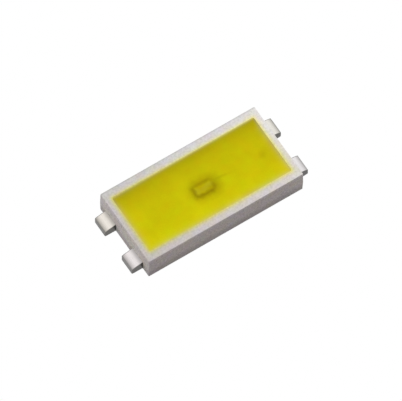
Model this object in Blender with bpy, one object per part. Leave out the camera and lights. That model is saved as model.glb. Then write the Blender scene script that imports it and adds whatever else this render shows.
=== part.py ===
"""White four-tab SMD LED, about 7 x 3 x 1 mm, with every piece that it holds.

Metres, +Z up. The origin lies on the soldering plane, under the middle of the package.
+X runs along the package, from the cathode end to the anode end.
"""
import math

import bmesh
import bpy
from mathutils import Vector

# Moulded housing
BODY_LENGTH = 6.12e-3        # across the parting line, where the moulding is longest
BODY_WIDTH = 3.02e-3
BODY_HEIGHT = 1.05e-3
DRAFT_ABOVE = 0.010e-3       # how far each outer wall leans in, from the parting line to the rim
DRAFT_BELOW = 0.010e-3       # the same, from the parting line down to the underside
RIM_END = 0.25e-3            # width of the flat rim at the two ends
RIM_SIDE = 0.33e-3           # width of the flat rim along the long sides
WALL_RUN = 0.25e-3           # how far the reflector wall leans in on its way to the floor
BODY_CORNER = 0.03e-3
RIM_EDGE = 0.020e-3          # rounding of the rim's outer edge
LIP_EDGE = 0.012e-3          # rounding of the rim's inner edge
MOUTH_CORNER = 0.05e-3
FLOOR_CORNER = 0.16e-3

# Lead frames
FRAME_THICKNESS = 0.46e-3
ETCH_DEPTH = 0.24e-3         # how much is etched away under the locking lip
LIP_WIDTH = 0.15e-3
PLATE_SIDE_MARGIN = 0.34e-3  # plastic beside the plates, in the long walls
PLATE_END_MARGIN = 0.25e-3   # plastic beyond the plates, in the end walls
PLATE_CORNER = 0.06e-3
LOCK_RADIUS = 0.10e-3        # half-round notches that key the plates into the plastic
CATHODE_LOCKS = 3
ANODE_LOCKS = 1
ISOLATION_X = 1.05e-3        # middle of the plastic bar that parts the two plates
ISOLATION_WIDTH = 0.30e-3
TAB_REACH = 0.42e-3          # how far a tab stands out of the end wall
TAB_WIDTH = 0.635e-3
TAB_SHOULDER = 0.025e-3      # step between a plate's long edge and its tab
TAB_FALL = 0.10e-3           # how far a tab's coined top falls from the wall to its end
TAB_NOSE_RUN = 0.16e-3       # length over which its upper end bends down further
TAB_NOSE_DROP = 0.035e-3     # how far it bends down there
TAB_EDGE = 0.020e-3          # rounding of a tab's upper long edges
TAB_ROLL = 0.050e-3          # rounding that the punch leaves along a tab's lower edges
TAB_ROLL_END = 0.030e-3      # the same at a tab's end
ROLL_START = 0.002e-3        # the rounding inside the plastic, which is all but square
ROLL_RUN = 0.010e-3          # length over which it grows, just outside the wall
TAB_ROOT = 0.10e-3           # how far a tab runs into the thick part of its plate

# LED chip, its adhesive and its contacts
CHIP_X = 0.10e-3
CHIP_LENGTH = 0.71e-3
CHIP_WIDTH = 0.38e-3
CHIP_HEIGHT = 0.13e-3
CHIP_TAPER = 0.012e-3        # the sawn sides lean in towards the base
CHIP_CORNER = 0.012e-3
SHELF_LENGTH = 0.12e-3       # etched shelf at the cathode end of the chip
MESA_INSET = 0.018e-3
MESA_HEIGHT = 0.010e-3
CONTACT_RADIUS = 0.045e-3
CONTACT_HEIGHT = 0.008e-3
CONTACT_INSET = 0.070e-3     # from the chip's end to a contact's middle
FINGER_WIDTH = 0.016e-3
FINGER_LENGTH = 0.30e-3
ATTACH_HEIGHT = 0.015e-3
ATTACH_SPREAD = 0.035e-3     # how far the adhesive squeezes out past a die

# Protection diode
DIODE_INSET = 0.16e-3        # from the end of the cavity floor to the diode's middle
DIODE_SIZE = 0.22e-3
DIODE_HEIGHT = 0.11e-3
DIODE_PAD_INSET = 0.045e-3
DIODE_PAD_HEIGHT = 0.006e-3

# Gold bond wires
WIRE_DIAMETER = 0.025e-3
BALL_RADIUS = 0.038e-3
BALL_HEIGHT = 0.022e-3
NECK_HEIGHT = 0.012e-3
LOOP_LIFT = 0.25e-3          # pull of the wire straight up out of its ball
LOOP_FALL = 0.10e-3          # height from which it curves down onto its stitch
LOOP_FALL_SHARE = 0.42       # share of the span over which it does so
BALL_PROFILE = ((0.0, 0.82), (0.3, 1.0), (0.7, 1.0), (1.0, 0.72))  # shares of height and radius
STITCH_SHARES = (0.35, 1.0)
STITCH_LENGTH = 0.07e-3
STITCH_WIDTH = 0.046e-3
STITCH_THICKNESS = 0.010e-3
ANODE_LANDING = 0.30e-3      # from the isolation bar's edge to the chip wire's stitch
CATHODE_REACH = 0.42e-3      # from the chip's cathode contact to its wire's stitch
CATHODE_SWING = -0.16e-3     # sideways step of that stitch
DIODE_LANDING = 0.26e-3      # from the isolation bar's edge to the diode wire's stitch
DIODE_SWING = 0.44e-3

# Encapsulant
FILL_DROP = 0.015e-3         # the resin's edge stays this far below the rim
MENISCUS_SAG = 0.035e-3
MENISCUS_REACH = 0.22e-3
MENISCUS_SHARES = (0.03, 0.08, 0.16, 0.28, 0.45, 0.65)  # rings, as shares of the half width
CORNER_OPENING = 1 / 3       # how fast the rings' corners open towards the middle

FIT_GAP = 0.005e-3           # running clearance between all neighbouring pieces
CUT_OVERSHOOT = 0.05e-3      # how far an open pocket is cut past the outside

SMOOTH_ANGLE = math.radians(30)
CORNER_STEPS = 4
ARC_STEPS = 6
CONTACT_STEPS = 22
WIRE_SIDES = 10
LOOP_STEPS = 16

UP = Vector((0.0, 0.0, 1.0))

# Places that follow from the sizes above
HALF_LENGTH = BODY_LENGTH / 2
HALF_WIDTH = BODY_WIDTH / 2
MOUTH_HALF_LENGTH = HALF_LENGTH - DRAFT_ABOVE - RIM_END
MOUTH_HALF_WIDTH = HALF_WIDTH - DRAFT_ABOVE - RIM_SIDE
FLOOR_END = MOUTH_HALF_LENGTH - WALL_RUN
WALL_TOP = BODY_HEIGHT - LIP_EDGE
CATHODE_EDGE = ISOLATION_X - ISOLATION_WIDTH / 2
ANODE_EDGE = ISOLATION_X + ISOLATION_WIDTH / 2
ATTACH_BASE = FRAME_THICKNESS + FIT_GAP
DIE_BASE = ATTACH_BASE + ATTACH_HEIGHT + FIT_GAP
SHELF_TOP = DIE_BASE + CHIP_HEIGHT
MESA_TOP = SHELF_TOP + MESA_HEIGHT
DIODE_X = FLOOR_END - DIODE_INSET
DIODE_TOP = DIE_BASE + DIODE_HEIGHT + DIODE_PAD_HEIGHT
N_CONTACT_X = CHIP_X - CHIP_LENGTH / 2 + CONTACT_INSET
P_CONTACT_X = CHIP_X + CHIP_LENGTH / 2 - CONTACT_INSET


def clear_scene():
    for old in list(bpy.data.objects):
        bpy.data.objects.remove(old, do_unlink=True)


def make_material(name, colour, roughness, metallic=0.0):
    material = bpy.data.materials.new(name)
    material.use_nodes = True
    shader = material.node_tree.nodes["Principled BSDF"]
    shader.inputs["Base Color"].default_value = (*colour, 1.0)
    shader.inputs["Roughness"].default_value = roughness
    shader.inputs["Metallic"].default_value = metallic
    material.diffuse_color = (*colour, 1.0)
    return material


def place(name, shape, material, at=(0.0, 0.0, 0.0)):
    """Turn a bmesh into an object of its own, under the package's empty."""
    bmesh.ops.recalc_face_normals(shape, faces=shape.faces)
    mesh = bpy.data.meshes.new(name)
    shape.to_mesh(mesh)
    shape.free()
    if material:
        mesh.materials.append(material)
    mesh.shade_smooth()
    mesh.set_sharp_from_angle(angle=SMOOTH_ANGLE)
    piece = bpy.data.objects.new(name, mesh)
    piece.location = at
    bpy.context.scene.collection.objects.link(piece)
    piece.parent = bpy.data.objects["package"]
    return piece


def add_loft(shape, rings):
    """Skin a stack of rings that all have the same number of points, and cap both ends."""
    loops = [[shape.verts.new(point) for point in ring] for ring in rings]
    count = len(loops[0])
    for first, second in zip(loops, loops[1:]):
        for here in range(count):
            after = (here + 1) % count
            shape.faces.new((first[here], first[after], second[after], second[here]))
    shape.faces.new(loops[0][::-1])
    shape.faces.new(loops[-1])


def loft(name, rings, material, at=(0.0, 0.0, 0.0)):
    shape = bmesh.new()
    add_loft(shape, rings)
    return place(name, shape, material, at)


def prism(name, outline, low, high, material):
    return loft(name, [[(x, y, z) for x, y in outline] for z in (low, high)], material)


def rounded_ring(half_x, half_y, radius, z, centre_x=0.0):
    """A level rectangle with rounded corners, anticlockwise seen from above."""
    ring = []
    for corner, (side_x, side_y) in enumerate(((1, 1), (-1, 1), (-1, -1), (1, -1))):
        for step in range(CORNER_STEPS + 1):
            angle = (corner + step / CORNER_STEPS) * math.pi / 2
            x = centre_x + side_x * (half_x - radius) + radius * math.cos(angle)
            y = side_y * (half_y - radius) + radius * math.sin(angle)
            ring.append((x, y, z))
    return ring


def make_cutter(piece):
    piece.hide_render = True
    piece.display_type = "WIRE"
    return piece


def combine(piece, operation, *others):
    for other in others:
        modifier = piece.modifiers.new(f"{operation.lower()} {other.name}", "BOOLEAN")
        modifier.operation = operation
        modifier.solver = "EXACT"
        modifier.object = make_cutter(other)
    return piece


def wall_lean(z):
    """How far the reflector wall stands in from the mouth at a height."""
    return WALL_RUN * (WALL_TOP - z) / (WALL_TOP - FRAME_THICKNESS)


def cavity_ring(z, inset=0.0):
    """The reflector wall's section at a height, set in by a clearance."""
    lean = wall_lean(z) + inset
    radius = MOUTH_CORNER + (FLOOR_CORNER - MOUTH_CORNER) * wall_lean(z) / WALL_RUN
    return rounded_ring(MOUTH_HALF_LENGTH - lean, MOUTH_HALF_WIDTH - lean, radius - inset, z)


def build_housing(material):
    """One moulding: outer walls, rounded rim and reflector cavity, closed below by a floor."""
    def outer(inset, z):
        return rounded_ring(HALF_LENGTH - inset, HALF_WIDTH - inset, BODY_CORNER, z)

    rings = [outer(DRAFT_BELOW, 0.0), outer(0.0, FRAME_THICKNESS)]
    for step in range(CORNER_STEPS + 1):
        angle = step / CORNER_STEPS * math.pi / 2
        inset = DRAFT_ABOVE + RIM_EDGE * (1 - math.cos(angle))
        rings.append(outer(inset, BODY_HEIGHT - RIM_EDGE * (1 - math.sin(angle))))
    for step in range(CORNER_STEPS + 1):
        angle = step / CORNER_STEPS * math.pi / 2
        flare = LIP_EDGE * (1 - math.sin(angle))
        drop = LIP_EDGE * (1 - math.cos(angle))
        rings.append(rounded_ring(MOUTH_HALF_LENGTH + flare, MOUTH_HALF_WIDTH + flare,
                                  MOUTH_CORNER + flare, BODY_HEIGHT - drop))
    rings.append(cavity_ring(FRAME_THICKNESS))
    return loft("housing", rings, material)


def plate_outline(length, half_width, corner, locks, lock_radius):
    """Outline from the inner edge at u = 0 to the outer edge, with notches in both long edges."""
    upper = []
    for step in range(ARC_STEPS + 1):
        angle = math.pi - step / ARC_STEPS * math.pi / 2
        upper.append((corner * (1 + math.cos(angle)), half_width - corner * (1 - math.sin(angle))))
    for lock in range(locks):
        centre = length * (lock + 1) / (locks + 1)
        for step in range(2 * ARC_STEPS + 1):
            angle = math.pi + step / ARC_STEPS * math.pi / 2
            upper.append((centre + lock_radius * math.cos(angle),
                          half_width + lock_radius * math.sin(angle)))
    upper.append((length, half_width))
    return upper + [(u, -y) for u, y in reversed(upper)]


def grow_outline(outline, grow):
    """Move every edge of a closed outline outwards by the same distance."""
    if not grow:
        return outline
    area = sum(x0 * y1 - x1 * y0 for (x0, y0), (x1, y1) in zip(outline, outline[1:] + outline[:1]))
    turn = 1.0 if area > 0 else -1.0
    grown = []
    for before, here, after in zip(outline[-1:] + outline[:-1], outline, outline[1:] + outline[:1]):
        into = (Vector(here) - Vector(before)).normalized()
        onward = (Vector(after) - Vector(here)).normalized()
        normals = [Vector((edge.y, -edge.x)) * turn for edge in (into, onward)]
        mitre = (normals[0] + normals[1]).normalized()
        grown.append(tuple(Vector(here) + mitre * (grow / mitre.dot(normals[0]))))
    return grown


def tab_rings(start, wall, end, centre_y, half_width, low, high):
    """Sections along one tab. Its top slopes and bends down, and its lower edges are rolled round."""
    def slope(u):
        return high - TAB_FALL * (u - wall) / TAB_REACH

    nose = end - TAB_NOSE_RUN
    stations = [(start, low, high, ROLL_START), (wall, low, high, ROLL_START),
                (wall + ROLL_RUN, low, slope(wall + ROLL_RUN), TAB_ROLL), (nose, low, slope(nose), TAB_ROLL)]
    for step in range(1, ARC_STEPS + 1):
        angle = step / ARC_STEPS * math.pi / 2
        bend = 1 - math.cos(angle)
        u = nose + TAB_NOSE_RUN * math.sin(angle)
        stations.append((u, low + TAB_ROLL_END * bend, slope(u) - TAB_NOSE_DROP * bend, TAB_ROLL))
    rings = []
    for u, bottom, top, roll in stations:
        ring = []
        for corner, radius in enumerate((TAB_EDGE, TAB_EDGE, roll, roll)):
            side = 1 if corner in (0, 3) else -1
            level = top - radius if corner < 2 else bottom + radius
            for step in range(CORNER_STEPS + 1):
                angle = (corner + step / CORNER_STEPS) * math.pi / 2
                y = centre_y + side * (half_width - radius) + radius * math.cos(angle)
                ring.append((u, y, level + radius * math.sin(angle)))
        rings.append(ring)
    return rings


def build_lead_frame(name, side, material=None, grow=0.0, below=0.0):
    """A plate with an etched locking lip all round and two tabs. side is -1 for the cathode.

    With grow and below it is the pocket that the plastic keeps for the same frame.
    """
    inner_x = CATHODE_EDGE if side < 0 else ANODE_EDGE
    locks = CATHODE_LOCKS if side < 0 else ANODE_LOCKS
    length = HALF_LENGTH - PLATE_END_MARGIN - side * inner_x
    half_width = HALF_WIDTH - PLATE_SIDE_MARGIN
    wall = HALF_LENGTH - side * inner_x
    tip = wall + TAB_REACH + grow

    def to_package(points):
        return [(inner_x + side * u, *rest) for u, *rest in points]

    plate = plate_outline(length, half_width, PLATE_CORNER, locks, LOCK_RADIUS)
    plate = grow_outline(plate, grow)
    frame = prism(name, to_package(plate), ETCH_DEPTH - grow, FRAME_THICKNESS + grow, material)

    pad = plate_outline(length - 2 * LIP_WIDTH, half_width - LIP_WIDTH, PLATE_CORNER, 0, 0.0)
    pad = grow_outline([(u + LIP_WIDTH, y) for u, y in pad], grow)
    middle = (ETCH_DEPTH + FRAME_THICKNESS) / 2
    pad_block = prism(f"{name}_pad", to_package(pad), -below, middle, material)

    tabs = bmesh.new()
    for row in (-1, 1):
        centre_y = row * (half_width - TAB_SHOULDER - TAB_WIDTH / 2)
        rings = tab_rings(length - LIP_WIDTH - TAB_ROOT, wall, tip, centre_y,
                          TAB_WIDTH / 2 + grow, -below, FRAME_THICKNESS + grow)
        add_loft(tabs, [to_package(ring) for ring in rings])
    tab_blocks = place(f"{name}_tabs", tabs, material)
    return combine(frame, "UNION", pad_block, tab_blocks)


def build_attach(name, half_x, half_y, material, centre_x, grow=0.0):
    """A thin bed of adhesive, wider at the frame than under the die."""
    spread = ATTACH_SPREAD + grow
    rings = [
        rounded_ring(half_x + spread, half_y + spread, spread, -grow),
        rounded_ring(half_x + spread / 2, half_y + spread / 2, spread, ATTACH_HEIGHT + grow),
    ]
    return loft(name, rings, material, (centre_x, 0.0, ATTACH_BASE))


def build_chip(name, material, grow=0.0):
    """Sapphire die with leaning sides, an etched shelf at one end and a raised mesa."""
    half_x = CHIP_LENGTH / 2 + grow
    half_y = CHIP_WIDTH / 2 + grow
    radius = CHIP_CORNER + grow
    mesa_half_x = half_x - (SHELF_LENGTH + MESA_INSET) / 2
    mesa_x = (SHELF_LENGTH - MESA_INSET) / 2
    shelf = CHIP_HEIGHT + grow
    rings = [
        rounded_ring(half_x - CHIP_TAPER, half_y - CHIP_TAPER, radius, -grow),
        rounded_ring(half_x, half_y, radius, shelf),
        rounded_ring(mesa_half_x, half_y - MESA_INSET, radius, shelf, mesa_x),
        rounded_ring(mesa_half_x, half_y - MESA_INSET, radius, shelf + MESA_HEIGHT, mesa_x),
    ]
    return loft(name, rings, material, (CHIP_X, 0.0, DIE_BASE))


def build_contact(name, finger, material, at, grow=0.0):
    """A round bond pad, flat on its -X side or with a thin current finger that runs out there."""
    radius = CONTACT_RADIUS + grow
    half_finger = FINGER_WIDTH / 2 + grow
    gap_angle = math.asin(half_finger / radius)
    arc = math.tau - 2 * gap_angle
    outline = []
    for step in range(CONTACT_STEPS + 1):
        angle = math.pi + gap_angle + step / CONTACT_STEPS * arc
        outline.append((radius * math.cos(angle), radius * math.sin(angle)))
    if finger:
        outline += [(-finger - grow, half_finger), (-finger - grow, -half_finger)]
    rings = [[(x, y, z) for x, y in outline] for z in (-grow, CONTACT_HEIGHT + grow)]
    return loft(name, rings, material, at)


def build_diode(name, material, grow=0.0):
    """Square silicon die with a raised metal pad on top."""
    half = DIODE_SIZE / 2 + grow
    pad_half = half - DIODE_PAD_INSET
    radius = CHIP_CORNER + grow
    top = DIODE_HEIGHT + grow
    rings = [
        rounded_ring(half, half, radius, -grow),
        rounded_ring(half, half, radius, top),
        rounded_ring(pad_half, pad_half, radius, top),
        rounded_ring(pad_half, pad_half, radius, top + DIODE_PAD_HEIGHT),
    ]
    return loft(name, rings, material, (DIODE_X, 0.0, DIE_BASE))


def loop_stations(start, end, along):
    """Points and directions on a Bezier loop: straight up from the ball, then down to the stitch."""
    lift = start + UP * LOOP_LIFT
    approach = end - along * ((end - start).length * LOOP_FALL_SHARE) + UP * LOOP_FALL
    stations = []
    for step in range(LOOP_STEPS + 1):
        t = step / LOOP_STEPS
        s = 1.0 - t
        point = start * s ** 3 + lift * (3 * s * s * t) + approach * (3 * s * t * t) + end * t ** 3
        heading = (lift - start) * s * s + (approach - lift) * (2 * s * t) + (end - approach) * t * t
        stations.append((point, heading.normalized()))
    return stations


def build_wire(name, ball, stitch, material, grow=0.0):
    """One gold wire from the ball on a die to the flat stitch on a plate."""
    at = Vector(ball)
    radius = WIRE_DIAMETER / 2
    landing = Vector(stitch) - at
    along = Vector((landing.x, landing.y, 0.0)).normalized()
    across = Vector((-along.y, along.x, 0.0))

    stations = []
    for level, share in BALL_PROFILE:
        stations.append((UP * (BALL_HEIGHT * level), UP, BALL_RADIUS * share, BALL_RADIUS * share))
    for point, heading in loop_stations(UP * (BALL_HEIGHT + NECK_HEIGHT), landing + UP * radius, along):
        stations.append((point, heading, radius, radius))
    for share in STITCH_SHARES:
        point = landing + along * (STITCH_LENGTH * share) + UP * (STITCH_THICKNESS / 2)
        stations.append((point, along, STITCH_WIDTH / 2, STITCH_THICKNESS / 2))

    first, last = stations[0], stations[-1]
    stations[0] = (first[0] - UP * grow, *first[1:])
    stations[-1] = (last[0] + along * grow, *last[1:])
    rings = []
    for centre, tangent, half_width, half_height in stations:
        normal = across.cross(tangent)
        ring = []
        for step in range(WIRE_SIDES):
            angle = step / WIRE_SIDES * math.tau
            offset = across * ((half_width + grow) * math.cos(angle))
            ring.append(centre + offset + normal * ((half_height + grow) * math.sin(angle)))
        rings.append(ring)
    return loft(name, rings, material, at)


def build_encapsulant(material):
    """Resin that fills the cavity and creeps up its walls, so its top is slightly hollow."""
    edge_z = BODY_HEIGHT - FILL_DROP
    rings = [cavity_ring(FRAME_THICKNESS + FIT_GAP, FIT_GAP), cavity_ring(edge_z, FIT_GAP)]
    lean = wall_lean(edge_z) + FIT_GAP
    half_x = MOUTH_HALF_LENGTH - lean
    half_y = MOUTH_HALF_WIDTH - lean
    for share in MENISCUS_SHARES:
        inward = share * half_y
        z = edge_z - MENISCUS_SAG * (1 - math.exp(-inward / MENISCUS_REACH))
        radius = MOUTH_CORNER + inward * CORNER_OPENING
        rings.append(rounded_ring(half_x - inward, half_y - inward, radius, z))
    return loft("encapsulant", rings, material)


def inner_pieces(finish, suffix="", grow=0.0):
    """Everything that the resin buries. With grow these are the hollows that it keeps for them."""
    n_top = SHELF_TOP + FIT_GAP
    p_top = MESA_TOP + FIT_GAP
    plate_top = FRAME_THICKNESS + FIT_GAP
    wire_start = CONTACT_HEIGHT + FIT_GAP
    return [
        build_attach(f"die_attach{suffix}", CHIP_LENGTH / 2, CHIP_WIDTH / 2, finish["adhesive"],
                     CHIP_X, grow),
        build_chip(f"led_chip{suffix}", finish["die"], grow),
        build_contact(f"n_contact{suffix}", 0.0, finish["gold"], (N_CONTACT_X, 0.0, n_top), grow),
        build_contact(f"p_contact{suffix}", FINGER_LENGTH, finish["gold"],
                      (P_CONTACT_X, 0.0, p_top), grow),
        build_wire(f"cathode_bond_wire{suffix}", (N_CONTACT_X, 0.0, n_top + wire_start),
                   (N_CONTACT_X - CATHODE_REACH, CATHODE_SWING, plate_top), finish["gold"], grow),
        build_wire(f"anode_bond_wire{suffix}", (P_CONTACT_X, 0.0, p_top + wire_start),
                   (ANODE_EDGE + ANODE_LANDING, 0.0, plate_top), finish["gold"], grow),
        build_attach(f"diode_attach{suffix}", DIODE_SIZE / 2, DIODE_SIZE / 2, finish["adhesive"],
                     DIODE_X, grow),
        build_diode(f"protection_diode{suffix}", finish["silicon"], grow),
        build_wire(f"diode_bond_wire{suffix}", (DIODE_X, 0.0, DIODE_TOP + FIT_GAP),
                   (CATHODE_EDGE - DIODE_LANDING, DIODE_SWING, plate_top), finish["gold"], grow),
    ]


def main():
    clear_scene()
    package = bpy.data.objects.new("package", None)
    bpy.context.scene.collection.objects.link(package)
    finish = {
        "white": make_material("white_reflector_plastic", (0.66, 0.63, 0.61), 0.45),
        "silver": make_material("silver_plated_copper", (0.80, 0.79, 0.78), 0.30, 1.0),
        "phosphor": make_material("phosphor_silicone", (0.58, 0.53, 0.01), 0.25),
        "adhesive": make_material("die_attach_silicone", (0.70, 0.68, 0.62), 0.40),
        "die": make_material("sapphire_chip", (0.30, 0.27, 0.12), 0.15),
        "silicon": make_material("silicon_die", (0.18, 0.18, 0.20), 0.20),
        "gold": make_material("gold", (0.83, 0.58, 0.20), 0.25, 1.0),
    }
    housing = build_housing(finish["white"])
    pockets = []
    for name, side in (("cathode", -1), ("anode", 1)):
        build_lead_frame(f"{name}_lead_frame", side, finish["silver"])
        pockets.append(build_lead_frame(f"{name}_pocket", side, None, FIT_GAP, CUT_OVERSHOOT))
    combine(housing, "DIFFERENCE", *pockets)
    inner_pieces(finish)
    encapsulant = build_encapsulant(finish["phosphor"])
    combine(encapsulant, "DIFFERENCE", *inner_pieces(finish, "_hollow", FIT_GAP))


main()
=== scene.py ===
# %% [markdown]
# # A white surface-mount LED
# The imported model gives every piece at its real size, so this file only dresses it. It is
# a lesson in cells: each step first says what the piece or finish is on the real object,
# and why it is made this way in Blender.

# %% The frame
import math

import bpy
from mathutils import Matrix, Vector


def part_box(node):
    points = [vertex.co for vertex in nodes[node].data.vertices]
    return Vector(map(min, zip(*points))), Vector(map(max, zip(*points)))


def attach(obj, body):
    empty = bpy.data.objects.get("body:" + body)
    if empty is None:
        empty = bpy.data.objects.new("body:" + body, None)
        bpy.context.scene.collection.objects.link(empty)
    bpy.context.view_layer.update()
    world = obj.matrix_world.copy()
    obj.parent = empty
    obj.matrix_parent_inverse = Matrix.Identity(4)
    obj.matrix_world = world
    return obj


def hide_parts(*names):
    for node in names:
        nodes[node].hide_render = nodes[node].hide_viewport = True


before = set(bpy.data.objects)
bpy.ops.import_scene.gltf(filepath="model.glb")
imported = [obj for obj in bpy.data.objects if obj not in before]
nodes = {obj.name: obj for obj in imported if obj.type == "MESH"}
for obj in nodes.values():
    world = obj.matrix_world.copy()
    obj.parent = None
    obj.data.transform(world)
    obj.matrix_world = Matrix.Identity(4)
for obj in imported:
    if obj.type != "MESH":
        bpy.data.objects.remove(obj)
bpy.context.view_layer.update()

scene = bpy.context.scene
print("pieces in the frame:", ", ".join(sorted(nodes)))

# %% [markdown]
# ## Units and small helpers
# The LED is only 7 mm long, so lengths are written in millimetres and turned to Blender's
# metres by one factor. Colours are written as the hex values that a paint program shows,
# and one function turns them to the linear light that shaders work in. One more function
# adds a node, sets it and links it, so that a material reads as a list of its layers,
# from what the surface is made of to the shader at its end.
#
# Some sockets go by number. A Map Range node takes a value (0) from one range (1, 2) to
# another (3, 4), which is 0 to 1 where none is given. A Mix node goes by its factor (0)
# from one number to another (2, 3), or from one colour to another (6, 7). Where a node is
# given for a socket, its first output is meant.

# %% Helpers
MM = 0.001
WHITE = (1.0, 1.0, 1.0, 1.0)


def linear(code):
    """The linear colour of an sRGB hex value such as "E4E2DF"."""
    channels = [int(code[at:at + 2], 16) / 255 for at in (0, 2, 4)]
    return tuple(c / 12.92 if c <= 0.04045 else ((c + 0.055) / 1.055) ** 2.4
                 for c in channels) + (1.0,)


def add(tree, kind, inputs=None, **settings):
    """Add one node, set its properties, and fill its sockets with values or with links."""
    node = tree.nodes.new(kind)
    for name, value in settings.items():
        setattr(node, name, value)
    for socket, value in (inputs or {}).items():
        if isinstance(value, bpy.types.Node):
            value = value.outputs[0]
        if isinstance(value, bpy.types.NodeSocket):
            tree.links.new(value, node.inputs[socket])
        else:
            node.inputs[socket].default_value = value
    return node


def new_material(name):
    """An empty material, and the tree for its layers."""
    material = bpy.data.materials.new(name)
    material.use_nodes = True
    material.node_tree.nodes.clear()
    return material, material.node_tree


def in_millimetres(tree):
    """The place on the object, with one unit to the millimetre, so patterns have real sizes."""
    place = add(tree, "ShaderNodeTexCoord").outputs["Object"]
    return add(tree, "ShaderNodeMapping", {"Vector": place, "Scale": (1 / MM,) * 3})


def set_stops(ramp, tones):
    """Give a colour ramp its stops, each a position and a hex colour, from low to high."""
    for stop, (position, code) in zip(ramp.elements, (tones[0], tones[-1])):
        stop.position, stop.color = position, linear(code)
    for position, code in tones[1:-1]:
        ramp.elements.new(position).color = linear(code)


def clothe(piece, material):
    """Give a piece one material on all of its faces."""
    piece.data.materials.clear()
    piece.data.materials.append(material)


print("mid grey in linear light:", linear("808080")[0])

# %% [markdown]
# ## The camera
# The photograph was taken from far away with the LED turned to the left, so its edges run
# nearly parallel. The camera therefore stands 400 mm off with a very long lens. Its angles
# and the scale come from fitting the package's corners to the photograph.

# %% Camera
PHOTO_WIDTH = 402
PHOTO_HEIGHT = 401
PIXELS_PER_MM = 30.057
MIDDLE_PIXEL = (201.14, 190.852)     # where the middle of the package shows
AZIMUTH = math.radians(-33.876)
ELEVATION = math.radians(63.09)
ROLL = math.radians(1.188)
CAMERA_DISTANCE = 400 * MM
SENSOR = 36.0
MIDDLE_HEIGHT = 0.523 * MM
CLIP_START = 0.01

backward = Vector((math.sin(AZIMUTH) * math.cos(ELEVATION),
                   -math.cos(AZIMUTH) * math.cos(ELEVATION),
                   math.sin(ELEVATION)))
level_right = Vector((math.cos(AZIMUTH), math.sin(AZIMUTH), 0.0))
level_up = backward.cross(level_right)
right = level_right * math.cos(ROLL) + level_up * math.sin(ROLL)
up = level_up * math.cos(ROLL) - level_right * math.sin(ROLL)

pixel = MM / PIXELS_PER_MM
aside = (MIDDLE_PIXEL[0] - (PHOTO_WIDTH - 1) / 2) * pixel
above = ((PHOTO_HEIGHT - 1) / 2 - MIDDLE_PIXEL[1]) * pixel
aim = Vector((0.0, 0.0, MIDDLE_HEIGHT)) - right * aside - up * above

lens = bpy.data.cameras.new("studio_camera")
lens.sensor_width = SENSOR
lens.lens = SENSOR * CAMERA_DISTANCE / (PHOTO_WIDTH * pixel)
lens.clip_start = CLIP_START
camera = bpy.data.objects.new("studio_camera", lens)
axes = Matrix((right, up, backward)).transposed().to_4x4()
camera.matrix_world = Matrix.Translation(aim + backward * CAMERA_DISTANCE) @ axes
scene.collection.objects.link(camera)
scene.camera = camera
print(f"camera with a {lens.lens:.0f} mm lens")

# %% [markdown]
# ## The studio
# The background of the photograph is pure white, while the package itself is lit softly.
# A white that came from strong light would burn out the white plastic. So the floor and
# the world show white only to rays from the camera and to mirror and glass rays, and give
# a plain grey light to everything else.

# %% Floor
FLOOR_COLOUR = linear("9D9896")
FLOOR_SIZE = 300 * MM
FLOOR_DROP = 0.002 * MM


def shows_white(tree):
    """One for the rays that see the background itself, and zero for the light that it gives."""
    path = add(tree, "ShaderNodeLightPath").outputs
    seen = add(tree, "ShaderNodeMath", {0: path["Is Camera Ray"], 1: path["Is Glossy Ray"]},
               operation="MAXIMUM")
    return add(tree, "ShaderNodeMath", {0: seen, 1: path["Is Transmission Ray"]},
               operation="MAXIMUM")


floor_mesh = bpy.data.meshes.new("studio_floor")
reach = FLOOR_SIZE / 2
floor_mesh.from_pydata([(-reach, -reach, -FLOOR_DROP), (reach, -reach, -FLOOR_DROP),
                        (reach, reach, -FLOOR_DROP), (-reach, reach, -FLOOR_DROP)],
                       [], [(0, 1, 2, 3)])
floor = bpy.data.objects.new("studio_floor", floor_mesh)
scene.collection.objects.link(floor)

paper, tree = new_material("studio_paper")
matte = add(tree, "ShaderNodeBsdfDiffuse", {"Color": FLOOR_COLOUR})
glow = add(tree, "ShaderNodeEmission", {"Color": WHITE})
mixed = add(tree, "ShaderNodeMixShader", {0: shows_white(tree), 1: matte, 2: glow})
add(tree, "ShaderNodeOutputMaterial", {"Surface": mixed})
paper.cycles.emission_sampling = "NONE"
clothe(floor, paper)
print(f"floor {FLOOR_SIZE / MM:.0f} mm wide")

# %% World
AMBIENT = 0.35

world = bpy.data.worlds.new("studio_air")
world.use_nodes = True
scene.world = world
tree = world.node_tree
tree.nodes.clear()
strength = add(tree, "ShaderNodeMapRange", {0: shows_white(tree), 3: AMBIENT, 4: 1.0})
sky = add(tree, "ShaderNodeBackground", {"Color": WHITE, "Strength": strength})
add(tree, "ShaderNodeOutputWorld", {"Surface": sky})

scene.view_settings.view_transform = "Standard"
print(f"world light {AMBIENT}")

# %% [markdown]
# ## The lamps
# The rim grows brighter from left to right, and the left end is lighter than the front.
# A broad lamp close by on the right, a little behind the package, gives the first, because
# its light fades along the 6 mm. A weaker one, low on the left, gives the second.

# %% Lamps
LAMPS = {
    # name: (azimuth, elevation, distance, size, how light a white face turned to it is)
    "broad_lamp": (122.0, 52.0, 20 * MM, 12 * MM, 0.56),
    "left_lamp": (-90.0, 14.0, 40 * MM, 20 * MM, 0.145),
}

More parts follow.
